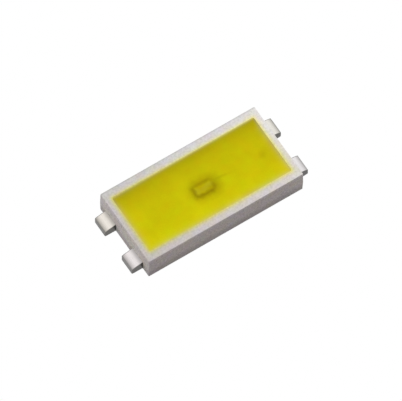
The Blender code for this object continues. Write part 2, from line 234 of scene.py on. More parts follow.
for name, (azimuth, elevation, distance, size, light) in LAMPS.items():
    turn, lift = math.radians(azimuth), math.radians(elevation)
    towards = Vector((math.sin(turn) * math.cos(lift), -math.cos(turn) * math.cos(lift),
                      math.sin(lift)))
    lamp = bpy.data.lights.new(name, "AREA")
    lamp.shape = "DISK"
    lamp.size = size
    lamp.energy = light * math.pi ** 2 * distance ** 2
    holder = bpy.data.objects.new(name, lamp)
    aimed = towards.to_track_quat("Z", "Y").to_matrix().to_4x4()
    holder.matrix_world = Matrix.Translation(towards * distance) @ aimed
    holder.visible_glossy = False
    scene.collection.objects.link(holder)
print("lamps:", ", ".join(LAMPS))

# %% [markdown]
# ## Distances that the finishes share
# The yellow of the resin and the white of the plastic meet along the window's edge, a
# rectangle with small round corners. Both finishes fade there, so both measure how far a
# point lies from that rectangle, below zero inside it and above zero outside it. What lies
# below the resin shows as round soft spots, which go by the distance from their middle.

# %% Distance to a rounded rectangle and to a spot
IN_PLAN = (1.0, 1.0, 0.0)       # keeps the place seen from above and drops its height


def from_rectangle(tree, place, half_x, half_y, radius):
    """How far a place lies outside a level rectangle with round corners, in millimetres."""
    corner = add(tree, "ShaderNodeVectorMath", {0: place}, operation="ABSOLUTE")
    beyond = add(tree, "ShaderNodeVectorMath",
                 {0: corner, 1: (half_x - radius, half_y - radius, 0.0)}, operation="SUBTRACT")
    level = add(tree, "ShaderNodeVectorMath", {0: beyond, 1: IN_PLAN}, operation="MULTIPLY")
    outer = add(tree, "ShaderNodeVectorMath", {0: level, 1: (0.0, 0.0, 0.0)}, operation="MAXIMUM")
    reach = add(tree, "ShaderNodeVectorMath", {0: outer}, operation="LENGTH").outputs["Value"]
    sides = add(tree, "ShaderNodeSeparateXYZ", {0: level}).outputs
    nearer = add(tree, "ShaderNodeMath", {0: sides["X"], 1: sides["Y"]}, operation="MAXIMUM")
    inner = add(tree, "ShaderNodeMath", {0: nearer, 1: 0.0}, operation="MINIMUM")
    total = add(tree, "ShaderNodeMath", {0: reach, 1: inner}, operation="ADD")
    return add(tree, "ShaderNodeMath", {0: total, 1: radius}, operation="SUBTRACT")


def from_spot(tree, place, middle, half_size=(1.0, 1.0, 1.0)):
    """How far a place lies from a spot's middle in plan, as a share of the spot's half size."""
    off = add(tree, "ShaderNodeVectorMath", {0: place, 1: middle}, operation="SUBTRACT")
    level = add(tree, "ShaderNodeVectorMath", {0: off, 1: IN_PLAN}, operation="MULTIPLY")
    share = add(tree, "ShaderNodeVectorMath", {0: level, 1: half_size}, operation="DIVIDE")
    return add(tree, "ShaderNodeVectorMath", {0: share}, operation="LENGTH").outputs["Value"]


resin_low, resin_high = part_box("encapsulant")
WINDOW_HALF_X = resin_high.x / MM
WINDOW_HALF_Y = resin_high.y / MM
WINDOW_CORNER = 0.05
_, housing_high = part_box("housing")
HALF_LENGTH = housing_high.x / MM
HALF_WIDTH = housing_high.y / MM
TOP = housing_high.z / MM
print(f"window {2 * WINDOW_HALF_X:.2f} x {2 * WINDOW_HALF_Y:.2f} mm")

# %% [markdown]
# ## White reflector plastic
# The housing is heat-resistant nylon, filled with white pigment so that it throws the
# light back, and injection moulded. The eye sees a warm white that isn't quite even,
# because the pigment lies thicker in some places. Over that lie two broad changes: it
# looks cooler towards the back right, and painted light makes it lightest on the right end.

# %% The plastic's own white, and painted light at the right end
MOTTLE_SIZE = 0.9
MOTTLE_LOW, MOTTLE_HIGH = 0.35, 0.65
ALONG_SHARE, ACROSS_SHARE = 0.32, 0.42
FAR_FROM, FAR_TO = -0.2, 0.75
COOLER = (1.01, 1.03, 1.07, 1.0)
END_WIDTH = 0.2
PAINTED_END_LIGHT = (1.03, 1.045, 1.035, 1.0)

plastic, tree = new_material("moulded_reflector_nylon")
place = in_millimetres(tree)
where = add(tree, "ShaderNodeSeparateXYZ", {0: place}).outputs
shares = (ALONG_SHARE / HALF_LENGTH, ACROSS_SHARE / HALF_WIDTH, 0.0)
to_back_right = add(tree, "ShaderNodeVectorMath", {0: place, 1: shares},
                    operation="DOT_PRODUCT").outputs["Value"]
far = add(tree, "ShaderNodeMapRange", {0: to_back_right, 1: FAR_FROM, 2: FAR_TO})
at_end = add(tree, "ShaderNodeMapRange",
             {0: where["X"], 1: WINDOW_HALF_X - END_WIDTH, 2: WINDOW_HALF_X})
mottle = add(tree, "ShaderNodeTexNoise", {"Vector": place, "Scale": 1 / MOTTLE_SIZE, "Detail": 3.0})
mottled = add(tree, "ShaderNodeMapRange", {0: mottle, 1: MOTTLE_LOW, 2: MOTTLE_HIGH})
pale = add(tree, "ShaderNodeMix", {0: mottled, 6: linear("E6DDDA"), 7: linear("E7E1DD")},
           data_type="RGBA").outputs[2]
# painted light: the right end of the plastic is made lighter
painted_end_light = add(tree, "ShaderNodeMix", {0: at_end, 6: WHITE, 7: PAINTED_END_LIGHT},
                data_type="RGBA").outputs[2]
lighter = add(tree, "ShaderNodeVectorMath", {0: pale, 1: painted_end_light}, operation="MULTIPLY")
cooler = add(tree, "ShaderNodeMix", {0: far, 6: WHITE, 7: COOLER}, data_type="RGBA").outputs[2]
cooled = add(tree, "ShaderNodeVectorMath", {0: lighter, 1: cooler}, operation="MULTIPLY")
print("own white:", len(tree.nodes), "nodes")

# %% [markdown]
# ## Yellow light in the lip
# Close to the window some yellow light from the phosphor shines through the lip and tints
# it. In front and at the left the tint holds for a tenth of a millimetre and then stops.
# At the back and right it starts to fall at once, though on the right end it reaches a
# little further. Two rates of fall, a steady one and one that grows with the distance,
# give both. The tint also fades down the walls, so the underside stays white.

# %% Spill of the yellow light
SPILL = 0.94
SPILL_NEAR = (2.7, 73.0)        # the steady rate and the growing one, at the front left
SPILL_FAR = (17.0, 8.0)         # and at the back right
END_SPILL = 0.80
SPILL_LOW, SPILL_HIGH = 0.40, 0.70

outside = from_rectangle(tree, place, WINDOW_HALF_X, WINDOW_HALF_Y, WINDOW_CORNER)
shorter = add(tree, "ShaderNodeMapRange", {0: at_end, 3: 1.0, 4: END_SPILL})
off_window = add(tree, "ShaderNodeMath", {0: outside, 1: shorter}, operation="MULTIPLY")
steady, growing = [
    add(tree, "ShaderNodeMapRange", {0: far, 3: -near_rate, 4: -far_rate})
    for near_rate, far_rate in zip(SPILL_NEAR, SPILL_FAR)]
rate = add(tree, "ShaderNodeMath", {0: off_window, 1: growing, 2: steady}, operation="MULTIPLY_ADD")
faded = add(tree, "ShaderNodeMath", {0: off_window, 1: rate}, operation="MULTIPLY")
falling = add(tree, "ShaderNodeMath", {0: faded}, operation="EXPONENT", use_clamp=True)
lighted = add(tree, "ShaderNodeMapRange",
              {0: where["Z"], 1: SPILL_LOW, 2: SPILL_HIGH, 3: 0.0, 4: SPILL},
              interpolation_type="SMOOTHSTEP")
spill = add(tree, "ShaderNodeMath", {0: falling, 1: lighted}, operation="MULTIPLY")
yellow = add(tree, "ShaderNodeMix", {0: far, 6: linear("ECE46A"), 7: linear("F6ED6E")},
             data_type="RGBA").outputs[2]
tinted = add(tree, "ShaderNodeMix", {0: spill, 6: cooled, 7: yellow}, data_type="RGBA").outputs[2]
print("with the spill:", len(tree.nodes), "nodes")

# %% [markdown]
# ## Walls and edges of the housing
# Painted shade and light part the housing into bands. The long walls carry a painted
# shade, a little darker and pinker than the top. Below the parting line they are greyer
# from painted shade, and their top edge has a painted highlight. On the top, painted shade
# makes the back rim fall off towards its edge, and its brink is the darkest.
# On the top, the back rim falls off towards its edge, and its brink is the darkest.

# %% Painted shade and highlight on the walls and edges
WALL_SHADE_TINT = (0.955, 0.93, 0.935, 1.0)
BACK_FROM = 1.26
BACK_SHADE = (0.92, 0.96, 0.94, 1.0)
BRINK_FROM, BRINK_TO = 1.44, 1.48
BRINK_SHADE = 0.86
FOOT_FROM, FOOT_TO = 0.20, 0.50
FOOT_SHADE = 0.79
EDGE_FROM = 0.92
EDGE_LIGHT = 1.16

facing = add(tree, "ShaderNodeNewGeometry").outputs["Normal"]
turned = add(tree, "ShaderNodeVectorMath", {0: facing}, operation="ABSOLUTE")
turns = add(tree, "ShaderNodeSeparateXYZ", {0: turned}).outputs
# painted shade: the long walls are made darker and pinker than the top
painted_wall_shade = add(tree, "ShaderNodeMix", {0: turns["Y"], 6: WHITE, 7: WALL_SHADE_TINT},
                data_type="RGBA").outputs[2]
walled = add(tree, "ShaderNodeVectorMath", {0: tinted, 1: painted_wall_shade}, operation="MULTIPLY")

# painted shade on the back rim, darkest at its brink
to_back = add(tree, "ShaderNodeMapRange", {0: where["Y"], 1: BACK_FROM, 2: HALF_WIDTH})
falls_off = add(tree, "ShaderNodeMix", {0: to_back, 6: WHITE, 7: BACK_SHADE},
                data_type="RGBA").outputs[2]
brink = add(tree, "ShaderNodeMapRange",
            {0: where["Y"], 1: BRINK_FROM, 2: BRINK_TO, 3: 1.0, 4: BRINK_SHADE})
dropped = add(tree, "ShaderNodeVectorMath", {0: falls_off, "Scale": brink}, operation="SCALE")
back_shade = add(tree, "ShaderNodeMix", {0: turns["Z"], 6: WHITE, 7: dropped},
                 data_type="RGBA").outputs[2]
backed = add(tree, "ShaderNodeVectorMath", {0: walled, 1: back_shade}, operation="MULTIPLY")

# painted shade low on the walls, and a painted highlight at their top edge
painted_foot_shade = add(tree, "ShaderNodeMapRange",
           {0: where["Z"], 1: FOOT_FROM, 2: FOOT_TO, 3: FOOT_SHADE, 4: 1.0},
           interpolation_type="SMOOTHSTEP")
painted_edge_highlight = add(tree, "ShaderNodeMapRange",
               {0: where["Z"], 1: EDGE_FROM, 2: TOP, 3: 1.0, 4: EDGE_LIGHT})
brighter = add(tree, "ShaderNodeMix", {0: turns["Z"], 2: painted_edge_highlight, 3: 1.0})
lighting = add(tree, "ShaderNodeMath", {0: painted_foot_shade, 1: brighter}, operation="MULTIPLY")
print("with walls and edges:", len(tree.nodes), "nodes")

# %% [markdown]
# ## Filler and moulded grain
# Glass and pigment in the nylon show as a faint drift of hue, a third of a millimetre
# across, and as specks that are clearer on the walls, where the plastic drags along the
# mould. The spark-eroded mould leaves a fine satin grain of about 30 micrometres, so the
# surface has no sharp highlights. The specks are drawn coarser than the real ones, at 70
# micrometres, because finer ones wouldn't show.

# %% Filler, grain and gloss
DRIFT_SIZE = 1 / 3
HUE_DRIFT = (0.17, 0.17, 0.44)
SPECK_SIZE = 1 / 14
SPECK_LOW, SPECK_HIGH = 0.25, 0.75
TOP_SPECKLE, WALL_SPECKLE = 0.12, 0.24
GRAIN_SIZE = 0.03
GRAIN_HEIGHT = 0.004 * MM

drift = add(tree, "ShaderNodeTexNoise",
            {"Vector": place, "Scale": 1 / DRIFT_SIZE, "Detail": 3.0}).outputs["Color"]
hue = add(tree, "ShaderNodeVectorMath",
          {0: drift, 1: HUE_DRIFT, 2: tuple(1 - part / 2 for part in HUE_DRIFT)},
          operation="MULTIPLY_ADD")
drifting = add(tree, "ShaderNodeVectorMath", {0: backed, 1: hue}, operation="MULTIPLY")
filler = add(tree, "ShaderNodeTexNoise", {"Vector": place, "Scale": 1 / SPECK_SIZE, "Detail": 2.0})
speck = add(tree, "ShaderNodeMapRange", {0: filler, 1: SPECK_LOW, 2: SPECK_HIGH, 3: -1.0, 4: 1.0})
contrast = add(tree, "ShaderNodeMix", {0: turns["Z"], 2: WALL_SPECKLE, 3: TOP_SPECKLE})
speckle = add(tree, "ShaderNodeMath", {0: speck, 1: contrast, 2: 1.0}, operation="MULTIPLY_ADD")
speckled = add(tree, "ShaderNodeMath", {0: lighting, 1: speckle}, operation="MULTIPLY")
white = add(tree, "ShaderNodeVectorMath", {0: drifting, "Scale": speckled}, operation="SCALE")
grain = add(tree, "ShaderNodeTexNoise", {"Vector": place, "Scale": 1 / GRAIN_SIZE, "Detail": 2.0})
bump = add(tree, "ShaderNodeBump", {"Height": grain, "Distance": GRAIN_HEIGHT, "Strength": 0.5})
shader = add(tree, "ShaderNodeBsdfPrincipled",
             {"Base Color": white, "Normal": bump, "Roughness": 0.6, "Specular IOR Level": 0.3})
add(tree, "ShaderNodeOutputMaterial", {"Surface": shader})
clothe(nodes["housing"], plastic)
print(f"{plastic.name}: {len(tree.nodes)} nodes")

# %% [markdown]
# ## Silver plating on the tabs
# The lead frames are stamped from copper strip and plated with silver. The coined tops are
# bright and reflect the white room. A ramp of tones that goes by the slope of the face
# paints shade into the colour: the upright stamped edges are much darker, and the bend at
# each tab's end fades from the bright top to them.

# %% Painted shade by slope
SLOPE_SHADE_TONES = ((0.0, "4F4D49"), (0.794, "96948F"), (0.886, "B0AEA9"), (0.927, "C6C3BE"),
               (0.950, "D6D3CE"), (0.966, "E6E3DE"), (0.972, "ECE9E4"))

silver, tree = new_material("satin_silver_plating")
place = in_millimetres(tree)
where = add(tree, "ShaderNodeSeparateXYZ", {0: place}).outputs
normal = add(tree, "ShaderNodeNewGeometry").outputs["Normal"]
tilt = add(tree, "ShaderNodeSeparateXYZ", {0: normal}).outputs
upright = add(tree, "ShaderNodeMath", {0: tilt["Z"]}, operation="ABSOLUTE")
# painted shade: steeper faces of the silver get darker tones
painted_slope_shade = add(tree, "ShaderNodeValToRGB", {0: upright})
set_stops(painted_slope_shade.color_ramp, SLOPE_SHADE_TONES)
print("tones by slope:", len(SLOPE_SHADE_TONES))

# %% [markdown]
# ## Smudges, painted shade and tints on the silver
# Handling leaves soft smudges on the plating. Painted shade darkens the root of the tabs
# next to the wall, strongly on the left ones, and on the right ones slightly as far as the
# tip. It lies on the tops only. The cut face at a tab's end has painted shade, darkest at
# its foot. Each tab also has a slight painted tint of what it reflects: rosy at the left,
# bluish in front and at the right, and warmer behind.

# %% Smudges, painted shade at the root and tip, and tints
NOISE_LOW, NOISE_HIGH = 0.3, 0.7    # where most values of a noise texture lie
SMUDGE_SIZE = 0.25
SMUDGE_DARK, SMUDGE_LIGHT = 0.915, 0.985
BAR_X = 1.05
WALL = 3.06
ROOT_SHADE_REACH = 0.18
LEFT_ROOT_SHADE_LEVEL = 0.55
TAB_TIP = 3.48
RIGHT_ROOT_SHADE_LEVEL = 0.875
TIP_TOP = 0.24
TIP_DARK, TIP_LIGHT = 0.65, 1.15
BETWEEN_TABS = 0.45
LEFT_TINT, RIGHT_TINT = (1.0, 0.97, 0.985, 1.0), (1.0, 1.0, 1.02, 1.0)
FRONT_TINT, BACK_TINT = (1.0, 1.0, 1.03, 1.0), (1.0, 1.0, 0.95, 1.0)

smudge = add(tree, "ShaderNodeTexNoise", {"Vector": place, "Scale": 1 / SMUDGE_SIZE, "Detail": 4.0})
smudged = add(tree, "ShaderNodeMapRange",
              {0: smudge, 1: NOISE_LOW, 2: NOISE_HIGH, 3: SMUDGE_DARK, 4: SMUDGE_LIGHT})
at_right = add(tree, "ShaderNodeMath", {0: where["X"], 1: BAR_X}, operation="GREATER_THAN")
from_middle = add(tree, "ShaderNodeMath", {0: where["X"]}, operation="ABSOLUTE")
# painted shade at the root of the left tabs, next to the wall
left_root_shading = add(tree, "ShaderNodeMapRange",
           {0: from_middle, 1: WALL + ROOT_SHADE_REACH, 2: WALL, 3: 1.0, 4: LEFT_ROOT_SHADE_LEVEL},
           interpolation_type="SMOOTHSTEP")
# painted shade on the right tabs, darkest next to the wall
right_root_shading = add(tree, "ShaderNodeMapRange", {0: from_middle, 1: WALL, 2: TAB_TIP, 3: RIGHT_ROOT_SHADE_LEVEL, 4: 1.0})
root_shading = add(tree, "ShaderNodeMix", {0: at_right, 2: left_root_shading, 3: right_root_shading})
root_shaded = add(tree, "ShaderNodeMix", {0: tilt["Z"], 2: 1.0, 3: root_shading})
smudged_and_shaded = add(tree, "ShaderNodeMath", {0: smudged, 1: root_shaded}, operation="MULTIPLY")

# painted shade on the cut face at a tab's end, darkest at its foot
on_tip = add(tree, "ShaderNodeMath", {0: tilt["X"]}, operation="ABSOLUTE")
tip = add(tree, "ShaderNodeMapRange",
          {0: where["Z"], 1: 0.0, 2: TIP_TOP, 3: TIP_DARK, 4: TIP_LIGHT})
tip_shade = add(tree, "ShaderNodeMix", {0: on_tip, 2: 1.0, 3: tip})
tipped = add(tree, "ShaderNodeMath", {0: smudged_and_shaded, 1: tip_shade}, operation="MULTIPLY")

# painted tint of what each tab reflects
end_tint = add(tree, "ShaderNodeMix", {0: at_right, 6: LEFT_TINT, 7: RIGHT_TINT},
               data_type="RGBA").outputs[2]
behind = add(tree, "ShaderNodeMapRange", {0: where["Y"], 1: -BETWEEN_TABS, 2: BETWEEN_TABS})
side_tint = add(tree, "ShaderNodeMix", {0: behind, 6: FRONT_TINT, 7: BACK_TINT},
                data_type="RGBA").outputs[2]
half_tinted = add(tree, "ShaderNodeVectorMath", {0: painted_slope_shade, 1: end_tint}, operation="MULTIPLY")
tinted = add(tree, "ShaderNodeVectorMath", {0: half_tinted, 1: side_tint}, operation="MULTIPLY")
print("with film and tints:", len(tree.nodes), "nodes")

# %% [markdown]
# ## Lines along the tabs' edges
# The punch rolls the back edge of each tab over, and painted shade draws it as a thin dark
# line; the right back tab has another at its corner. Both lie on upper faces only. A thin
# painted highlight marks where the top starts to bend.

# %% Painted shade on rolled edges, and painted highlight at the bend
TAB_BACK_EDGES = (-0.51, 1.145)     # where the back edges of the front and back tabs run
ROLL_FROM, ROLL_TO = 0.012, 0.028
ROLL_SHADE = 0.05
ROLL_ROOT = (3.16, 3.22)
CORNER_REACH = 0.03
CORNER_SHADE = 0.20
UPPER_FACE = 0.1
BEND = 3.285
BEND_WIDTH = 0.035
BEND_HIGHLIGHT = 0.04

# painted shade: thin dark lines along the rolled back edges and at the right back tab's corner
rear = add(tree, "ShaderNodeMath", {0: where["Y"], 1: 0.0}, operation="GREATER_THAN")
back_edge = add(tree, "ShaderNodeMix", {0: rear, 2: TAB_BACK_EDGES[0], 3: TAB_BACK_EDGES[1]})
from_edge = add(tree, "ShaderNodeMath", {0: back_edge, 1: where["Y"]}, operation="SUBTRACT")
roll_line = add(tree, "ShaderNodeMapRange",
                {0: from_edge, 1: ROLL_FROM, 2: ROLL_TO, 3: ROLL_SHADE, 4: 1.0})
past_root = add(tree, "ShaderNodeMapRange", {0: from_middle, 1: ROLL_ROOT[0], 2: ROLL_ROOT[1]})
edge_line = add(tree, "ShaderNodeMix", {0: past_root, 2: 1.0, 3: roll_line})
from_tip = add(tree, "ShaderNodeMath", {0: TAB_TIP, 1: where["X"]}, operation="SUBTRACT")
corner_line = add(tree, "ShaderNodeMapRange",
                  {0: from_tip, 1: 0.0, 2: CORNER_REACH, 3: CORNER_SHADE, 4: 1.0})
rear_line = add(tree, "ShaderNodeMix", {0: rear, 2: 1.0, 3: corner_line})
two_lines = add(tree, "ShaderNodeMath", {0: edge_line, 1: rear_line}, operation="MULTIPLY")
faces_up = add(tree, "ShaderNodeMath", {0: tilt["Z"], 1: UPPER_FACE}, operation="GREATER_THAN")
lined = add(tree, "ShaderNodeMix", {0: faces_up, 2: 1.0, 3: two_lines})
edged = add(tree, "ShaderNodeMath", {0: tipped, 1: lined}, operation="MULTIPLY")

# painted highlight where the top starts to bend
from_bend = add(tree, "ShaderNodeMath", {0: from_middle, 1: BEND}, operation="SUBTRACT")
off_bend = add(tree, "ShaderNodeMath", {0: from_bend}, operation="ABSOLUTE")
painted_bend_highlight = add(tree, "ShaderNodeMapRange",
            {0: off_bend, 1: 0.0, 2: BEND_WIDTH, 3: 1 + BEND_HIGHLIGHT, 4: 1.0},
            interpolation_type="SMOOTHSTEP")
highlighted = add(tree, "ShaderNodeMath", {0: edged, 1: painted_bend_highlight}, operation="MULTIPLY")
toned = add(tree, "ShaderNodeVectorMath", {0: tinted, "Scale": highlighted}, operation="SCALE")
print("with the edge lines:", len(tree.nodes), "nodes")

# %% [markdown]
# ## The rolled strip
# The rolls that made the strip leave fine lines along it, about 17 micrometres apart. The
# smudges make the satin plating a little rougher or smoother from place to place.

# %% Lines of the rolls and gloss
LINE_LENGTH = 1 / 3
LINE_SPACING = 1 / 60
LINE_DEPTH = 0.002 * MM
SMOOTH_SILVER, ROUGH_SILVER = 0.26, 0.36

rough = add(tree, "ShaderNodeMapRange",
            {0: smudge, 1: NOISE_LOW, 2: NOISE_HIGH, 3: SMOOTH_SILVER, 4: ROUGH_SILVER})
stretched = (1 / LINE_LENGTH, 1 / LINE_SPACING, 1 / LINE_SPACING)
roll_lines = add(tree, "ShaderNodeMapping", {"Vector": place, "Scale": stretched})
rolled = add(tree, "ShaderNodeTexNoise", {"Vector": roll_lines, "Scale": 1.0, "Detail": 3.0})
bump = add(tree, "ShaderNodeBump", {"Height": rolled, "Distance": LINE_DEPTH, "Strength": 0.4})
shader = add(tree, "ShaderNodeBsdfPrincipled",
             {"Base Color": toned, "Roughness": rough, "Normal": bump, "Metallic": 1.0})
add(tree, "ShaderNodeOutputMaterial", {"Surface": shader})
for name in ("cathode_lead_frame", "anode_lead_frame"):
    clothe(nodes[name], silver)
print(f"{silver.name}: {len(tree.nodes)} nodes")

# %% [markdown]
# ## The resin's form
# The silicone is poured into the cavity and cured. While it is liquid it creeps a little
# way up the walls, so its surface is level in the middle and rises to a thin edge. That
# form follows a rule, so a Geometry Nodes tree makes it from a fine block. It fills the
# cavity right up to the wall, and stands for the frame's plain encapsulant.

# %% Sizes of the resin
FLOOR_LEVEL = resin_low.z
EDGE_LEVEL = resin_high.z
WALL_GAP = 0.005 * MM
MOUTH_HALF = (resin_high.x + WALL_GAP, resin_high.y + WALL_GAP)
WALL_LEAN = 0.25 * MM
MOUTH_ROUND = 0.05 * MM
FLOOR_ROUND = 0.16 * MM
SAG = 0.035 * MM
CREEP = 0.22 * MM

form = bpy.data.node_groups.new("poured_resin", "GeometryNodeTree")
form.interface.new_socket("Geometry", in_out="OUTPUT", socket_type="NodeSocketGeometry")
for name in ("Mouth Half Length", "Mouth Half Width", "Floor Level", "Edge Level",
             "Wall Lean", "Sag", "Creep"):
    form.interface.new_socket(name, in_out="INPUT", socket_type="NodeSocketFloat")
form.interface.new_socket("Material", in_out="INPUT", socket_type="NodeSocketMaterial")
given = add(form, "NodeGroupInput").outputs
print(f"resin sags {SAG / MM:.3f} mm, over {CREEP / MM:.2f} mm from the wall")

# %% [markdown]
# ## The block and the cavity's slope
# The block has more of its rows near the wall, where the surface curves: a cubic pushes
# them outwards. The cavity is narrower at its floor than at its mouth, and its corners
# are rounder there, so both go by the height in the block.

# %% Crowded rows and leaning walls
CROWDING = 0.35
ROWS = (97, 49)

block = add(form, "GeometryNodeMeshCube",
            {"Size": (2.0, 2.0, 1.0), "Vertices X": ROWS[0], "Vertices Y": ROWS[1]})
spot = add(form, "GeometryNodeInputPosition")
squared = add(form, "ShaderNodeVectorMath", {0: spot, 1: spot}, operation="MULTIPLY")
eased = add(form, "ShaderNodeVectorMath", {0: squared, 1: (-CROWDING,) * 3, 2: (1 + CROWDING,) * 3},
            operation="MULTIPLY_ADD")
crowded = add(form, "ShaderNodeVectorMath", {0: spot, 1: eased}, operation="MULTIPLY")

height = add(form, "ShaderNodeSeparateXYZ", {0: spot}).outputs["Z"]
rise = add(form, "ShaderNodeMath", {0: height, 1: 0.5}, operation="ADD")
level = add(form, "ShaderNodeMapRange", {0: rise, 3: given["Floor Level"], 4: given["Edge Level"]})
lean = add(form, "ShaderNodeMapRange", {0: rise, 3: given["Wall Lean"], 4: 0.0})
mouth = add(form, "ShaderNodeCombineXYZ",
            {0: given["Mouth Half Length"], 1: given["Mouth Half Width"]})
inward = add(form, "ShaderNodeCombineXYZ", {0: lean, 1: lean})
half = add(form, "ShaderNodeVectorMath", {0: mouth, 1: inward}, operation="SUBTRACT")
radius = add(form, "ShaderNodeMapRange", {0: rise, 3: FLOOR_ROUND, 4: MOUTH_ROUND})
rounding = add(form, "ShaderNodeCombineXYZ", {0: radius, 1: radius})
straight = add(form, "ShaderNodeVectorMath", {0: half, 1: rounding}, operation="SUBTRACT")
print("block of", ROWS[0], "x", ROWS[1], "rows")

# %% [markdown]
# ## Round corners
# Past the straight part of a side, the square corner is pulled in to a quarter circle: a
# point keeps its direction from the circle's middle, and its distance shrinks by the
# share that the diagonal is longer than the side.

# %% Corners pulled in
square = add(form, "ShaderNodeVectorMath", {0: crowded, 1: half}, operation="MULTIPLY")
distance = add(form, "ShaderNodeVectorMath", {0: square}, operation="ABSOLUTE")
past = add(form, "ShaderNodeVectorMath", {0: distance, 1: straight}, operation="SUBTRACT")
corner = add(form, "ShaderNodeVectorMath", {0: past}, operation="MAXIMUM")
sides = add(form, "ShaderNodeSeparateXYZ", {0: corner}).outputs
longer = add(form, "ShaderNodeMath", {0: sides["X"], 1: sides["Y"]}, operation="MAXIMUM")
diagonal = add(form, "ShaderNodeVectorMath", {0: corner}, operation="LENGTH").outputs["Value"]
pull = add(form, "ShaderNodeMath", {0: longer, 1: diagonal}, operation="DIVIDE")
bent = add(form, "ShaderNodeVectorMath", {0: corner, "Scale": pull}, operation="SCALE")
kept = add(form, "ShaderNodeVectorMath", {0: distance, 1: straight}, operation="MINIMUM")
rounded = add(form, "ShaderNodeVectorMath", {0: kept, 1: bent}, operation="ADD")
signs = add(form, "ShaderNodeVectorMath", {0: crowded}, operation="SIGN")
plan = add(form, "ShaderNodeVectorMath", {0: rounded, 1: signs}, operation="MULTIPLY")
print("with round corners:", len(form.nodes), "nodes")

# %% [markdown]
# ## The sunken surface
# The top sinks by the sag, except close to the wall. There two exponentials, one for each
# pair of walls, bring it back up to the edge, as liquid that wets a wall climbs it.

# %% Surface that creeps up the wall
room = add(form, "ShaderNodeVectorMath", {0: half, 1: distance}, operation="SUBTRACT")
rooms = add(form, "ShaderNodeSeparateXYZ", {0: room}).outputs
falls = []
for axis in ("X", "Y"):
    ratio = add(form, "ShaderNodeMath", {0: rooms[axis], 1: given["Creep"]}, operation="DIVIDE")
    minus = add(form, "ShaderNodeMath", {0: ratio, 1: -1.0}, operation="MULTIPLY")
    left = add(form, "ShaderNodeMath", {0: minus}, operation="EXPONENT")
    falls.append(add(form, "ShaderNodeMath", {0: 1.0, 1: left}, operation="SUBTRACT"))
both = add(form, "ShaderNodeMath", {0: falls[0], 1: falls[1]}, operation="MULTIPLY")
on_top = add(form, "ShaderNodeMath", {0: both, 1: rise}, operation="MULTIPLY")
sunk = add(form, "ShaderNodeMath", {0: on_top, 1: given["Sag"]}, operation="MULTIPLY")
surface = add(form, "ShaderNodeMath", {0: level, 1: sunk}, operation="SUBTRACT")
upright = add(form, "ShaderNodeCombineXYZ", {2: surface})
lying = add(form, "ShaderNodeVectorMath", {0: plan, 1: IN_PLAN}, operation="MULTIPLY")
target = add(form, "ShaderNodeVectorMath", {0: lying, 1: upright}, operation="ADD")
moved = add(form, "GeometryNodeSetPosition", {"Geometry": block, "Position": target})
real = add(form, "GeometryNodeRealizeInstances", {0: moved})
dressed = add(form, "GeometryNodeSetMaterial", {"Geometry": real, "Material": given["Material"]})
add(form, "NodeGroupOutput", {0: dressed})
print(f"{form.name}: {len(form.nodes)} nodes")

# %% [markdown]
# ## Phosphor resin
# The window is silicone filled with yellow phosphor powder. It scatters light so strongly
# that it looks like paint, and only what lies close below its surface shows, as a soft
# darker mark. Painted shade makes the yellow deeper towards the back, where the raised rim
# shades it. The yellow is a little warmer at the ends in front, and painted shade darkens
# the back right. Along the window painted light evens it out against the fall of the
# lamp's light.

# %% Painted shade and light on the yellow
YELLOW_SHADE_TONES = ((0.0, "E4DC0C"), (0.15, "E4D90C"), (0.35, "DED40C"), (0.65, "DACE0C"),
               (0.85, "D0C30C"), (1.0, "B8AD0C"))
END_FROM = 1.8
LEFT_ENDS = ((1.045, 1.01, 1.0, 1.0), (1.0, 1.01, 1.0, 1.0))      # in front, and at the back
RIGHT_ENDS = ((1.07, 1.0, 1.0, 1.0), (0.96, 0.94, 1.0, 1.0))
LEFT_LEVEL, RIGHT_LEVEL = 1.11, 0.89

resin, tree = new_material("phosphor_filled_silicone")
place = in_millimetres(tree)
where = add(tree, "ShaderNodeSeparateXYZ", {0: place}).outputs
across = add(tree, "ShaderNodeMapRange", {0: where["Y"], 1: -WINDOW_HALF_Y, 2: WINDOW_HALF_Y})
# painted shade: the yellow darkens towards the back
yellow_with_back_shade = add(tree, "ShaderNodeValToRGB", {0: across})
yellow_with_back_shade.color_ramp.interpolation = "B_SPLINE"
set_stops(yellow_with_back_shade.color_ramp, YELLOW_SHADE_TONES)
end_tones = []
# the front ends are warmer; painted shade darkens the back right
for side, (front, back) in ((-1, LEFT_ENDS), (1, RIGHT_ENDS)):
    near_end = add(tree, "ShaderNodeMapRange",
                   {0: where["X"], 1: side * END_FROM, 2: side * WINDOW_HALF_X},
                   interpolation_type="SMOOTHSTEP")
    tone = add(tree, "ShaderNodeMix", {0: across, 6: front, 7: back}, data_type="RGBA").outputs[2]
    end_tones.append(add(tree, "ShaderNodeMix", {0: near_end, 6: WHITE, 7: tone},
                         data_type="RGBA").outputs[2])
ends = add(tree, "ShaderNodeVectorMath", {0: end_tones[0], 1: end_tones[1]}, operation="MULTIPLY")
yellow_with_ends = add(tree, "ShaderNodeVectorMath", {0: yellow_with_back_shade, 1: ends}, operation="MULTIPLY")
# painted light evens the yellow out against the fall of the lamp's light
painted_evening_light = add(tree, "ShaderNodeMapRange",
              {0: where["X"], 1: -WINDOW_HALF_X, 2: WINDOW_HALF_X, 3: LEFT_LEVEL, 4: RIGHT_LEVEL})
evened_yellow = add(tree, "ShaderNodeVectorMath", {0: yellow_with_ends, "Scale": painted_evening_light}, operation="SCALE")
print("tones by depth:", len(YELLOW_SHADE_TONES))

# %% [markdown]
# ## The resin's thin edge
# Where the resin creeps up the white wall it is so thin that the wall pales it. The pale
# line is broad in front, thin at the back, and a little broader again at the back left.
# At the back the wall also throws light onto the resin, in a line of its own.

